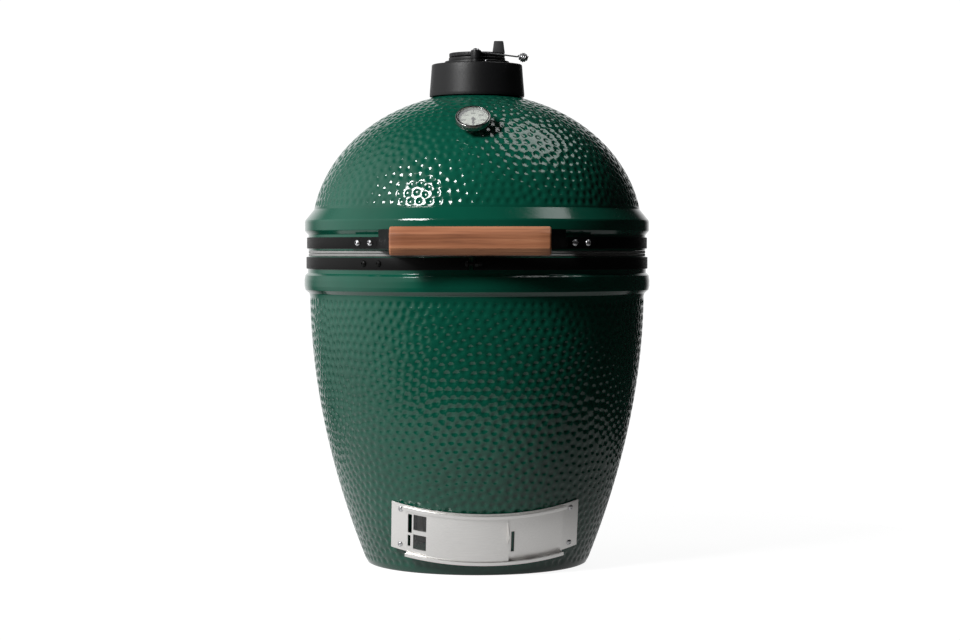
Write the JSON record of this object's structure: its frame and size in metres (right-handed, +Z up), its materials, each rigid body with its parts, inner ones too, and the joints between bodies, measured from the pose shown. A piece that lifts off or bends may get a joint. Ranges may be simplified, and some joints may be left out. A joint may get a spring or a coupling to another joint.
{
  "type": "kamado ceramic grill",
  "caption": "Egg-shaped ceramic charcoal cooker: dimpled glazed base and hinged dome, strapped rims, wooden front handle, sliding draft door, and a rotating vent cap.",
  "frame": {"origin": "centre of the base's flat underside, which rests on the ground or in a nest", "axes": "+Z up the turning axis of the base and dome, -Y to the front where the handle and draft door are, +Y to the hinge, +X to the right seen from the front"},
  "size_m": [0.5366, 0.6557, 0.8098],
  "materials": {
    "glaze": "dimpled gloss green glaze",
    "fireclay": "unglazed matte fireclay",
    "cast_iron": "rough cast",
    "grid_steel": "satin wire",
    "felt": "pressed grey felt",
    "black_steel": "satin black powder coat",
    "vent_black": "matte black high-temperature paint",
    "wood": "oiled hardwood, open grain",
    "zinc": "bright zinc plate",
    "spring_steel": "drawn wire",
    "stainless": "brushed stainless",
    "mesh_steel": "woven wire",
    "silicone": "soft matte",
    "dial": "white enamel with printed scale",
    "needle": "matte black",
    "lens": "clear"
  },
  "bodies": {
    "base": {"base_shell": "glaze", "firebox": "fireclay", "fire_ring": "fireclay", "fire_grate": "cast_iron", "cooking_grid": "grid_steel", "lower_gasket": "felt", "lower_band": "black_steel", "lower_band_bolt": "black_steel", "lower_band_nut": "black_steel", "lower_band_screw_1": "black_steel", "lower_band_screw_2": "black_steel", "hinge_lower_bracket": "black_steel", "hinge_pin": "zinc", "hinge_spring_left": "spring_steel", "hinge_spring_right": "spring_steel", "spring_anchor_rod": "zinc", "hinge_bolt_lower_1": "black_steel", "hinge_bolt_lower_2": "black_steel", "draft_frame": "stainless", "draft_rail_top": "stainless", "draft_rail_bottom": "stainless", "draft_screw_1": "stainless", "draft_screw_2": "stainless", "draft_screw_3": "stainless", "draft_screw_4": "stainless"},
    "dome": {"dome_shell": "glaze", "dome_crown_shell": "glaze", "upper_gasket": "felt", "upper_band": "black_steel", "upper_band_bolt": "black_steel", "upper_band_nut": "black_steel", "handle": "wood", "handle_bracket_left": "black_steel", "handle_bracket_right": "black_steel", "bracket_bolt_left_1": "zinc", "bracket_bolt_left_2": "zinc", "bracket_bolt_right_1": "zinc", "bracket_bolt_right_2": "zinc", "handle_screw_left": "zinc", "handle_screw_right": "zinc", "hinge_upper_bracket": "black_steel", "spring_hook_rod": "zinc", "hinge_bolt_upper_1": "black_steel", "hinge_bolt_upper_2": "black_steel", "thermometer_case": "stainless", "thermometer_dial": "dial", "thermometer_lens": "lens"},
    "needle": {"thermometer_needle": "needle"},
    "vent_cap": {"vent_cap_body": "vent_black", "vent_cap_gasket": "felt", "vent_lid_pivot": "zinc", "vent_cap_rivet": "zinc"},
    "vent_lid": {"vent_lid": "vent_black", "vent_lever": "spring_steel", "vent_wheel_screw": "zinc"},
    "vent_wheel": {"vent_wheel": "vent_black", "vent_nub": "silicone"},
    "draft_door": {"draft_door": "stainless"},
    "screen_door": {"screen_door": "stainless", "screen_mesh": "mesh_steel"}
  },
  "joints": [
    {"name": "dome_hinge", "type": "hinge", "parent": "base", "child": "dome", "pos_m": [0, 0.3, 0.481], "axis": [-1, 0, 0], "range_deg": [0, 70], "deforming": ["hinge_spring_left", "hinge_spring_right"]},
    {"name": "draft_door_slide", "type": "hinge", "parent": "base", "child": "draft_door", "pos_m": [-0.00137, 0.01264, 0.13289], "axis": [0.0355, -0.3269, 0.9444], "range_deg": [-9.4, 22.7]},
    {"name": "screen_door_slide", "type": "hinge", "parent": "base", "child": "screen_door", "pos_m": [-0.00137, 0.01264, 0.13289], "axis": [0.0355, -0.3269, 0.9444], "range_deg": [-1, 31]},
    {"name": "vent_cap_lift", "type": "slide", "parent": "dome", "child": "vent_cap", "axis": [0, 0, 1], "range_m": [0, 0.06]},
    {"name": "vent_lid_swing", "type": "hinge", "parent": "vent_cap", "child": "vent_lid", "pos_m": [0, -0.052, 0.785], "axis": [0, 0, -1], "range_deg": [0, 80]},
    {"name": "vent_wheel_turn", "type": "hinge", "parent": "vent_lid", "child": "vent_wheel", "pos_m": [0, 0, 0.7873], "axis": [0, 0, 1], "range_deg": [0, 36]},
    {"name": "thermometer_needle_turn", "type": "hinge", "parent": "dome", "child": "needle", "pos_m": [0, -0.18032, 0.66605], "axis": [0, 0.6428, -0.766], "range_deg": [0, 290]}
  ]
}
